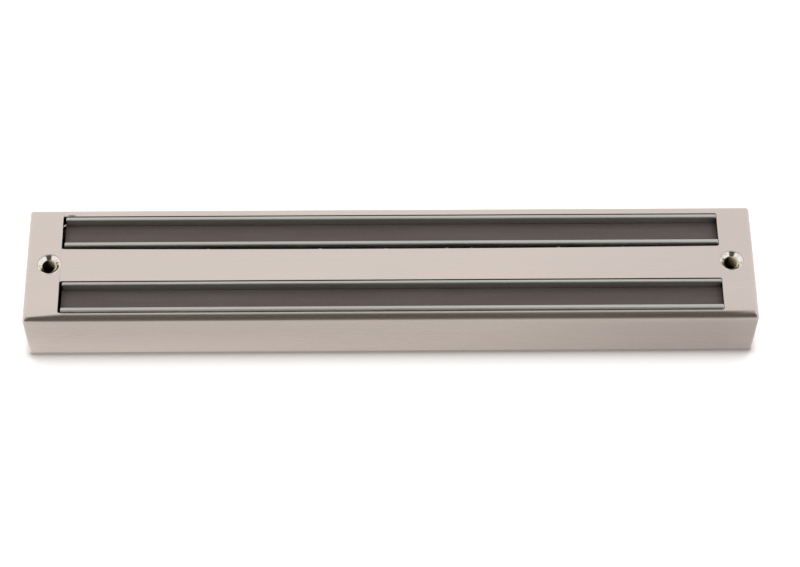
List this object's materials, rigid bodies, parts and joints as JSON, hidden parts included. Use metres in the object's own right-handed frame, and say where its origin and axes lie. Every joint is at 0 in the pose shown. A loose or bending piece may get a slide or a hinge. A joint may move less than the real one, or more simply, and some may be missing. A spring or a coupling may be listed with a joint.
{
  "type": "magnetic knife rack",
  "caption": "Wall-mounted magnetic knife rack: folded stainless cover, parallel magnetic rails standing through slots, and a countersunk screw hole at each end.",
  "frame": {"origin": "centre of the back face, which lies against the wall", "axes": "+X along the rack to its right end, +Y towards its upper edge on the wall, +Z out of the face"},
  "size_m": [0.35, 0.0624, 0.0335],
  "materials": {
    "brushed_stainless": "satin stainless sheet, brushed lengthwise",
    "back_steel": "mill-finish steel sheet",
    "nickel_plate": "bright nickel plate",
    "brass_tube": "turned brass",
    "pole_steel": "ground steel strip, zinc plated",
    "ferrite_strip": "matt rubber-bonded ferrite",
    "base_aluminium": "extruded aluminium",
    "rivet_aluminium": "headed aluminium",
    "bracket_steel": "galvanised steel sheet",
    "screw_steel": "zinc-plated steel"
  },
  "bodies": {
    "root": {"housing": "brushed_stainless", "back_plate": "back_steel", "left_ferrule": "nickel_plate", "left_spacer_tube": "brass_tube", "right_ferrule": "nickel_plate", "right_spacer_tube": "brass_tube", "upper_rail_upper_pole": "pole_steel", "upper_rail_lower_pole": "pole_steel", "upper_rail_magnet": "ferrite_strip", "upper_rail_base_bar": "base_aluminium", "upper_rail_rivets": "rivet_aluminium", "lower_rail_upper_pole": "pole_steel", "lower_rail_lower_pole": "pole_steel", "lower_rail_magnet": "ferrite_strip", "lower_rail_base_bar": "base_aluminium", "lower_rail_rivets": "rivet_aluminium", "left_rail_bracket": "bracket_steel", "middle_rail_bracket": "bracket_steel", "right_rail_bracket": "bracket_steel", "rail_screws": "screw_steel"}
  },
  "joints": []
}
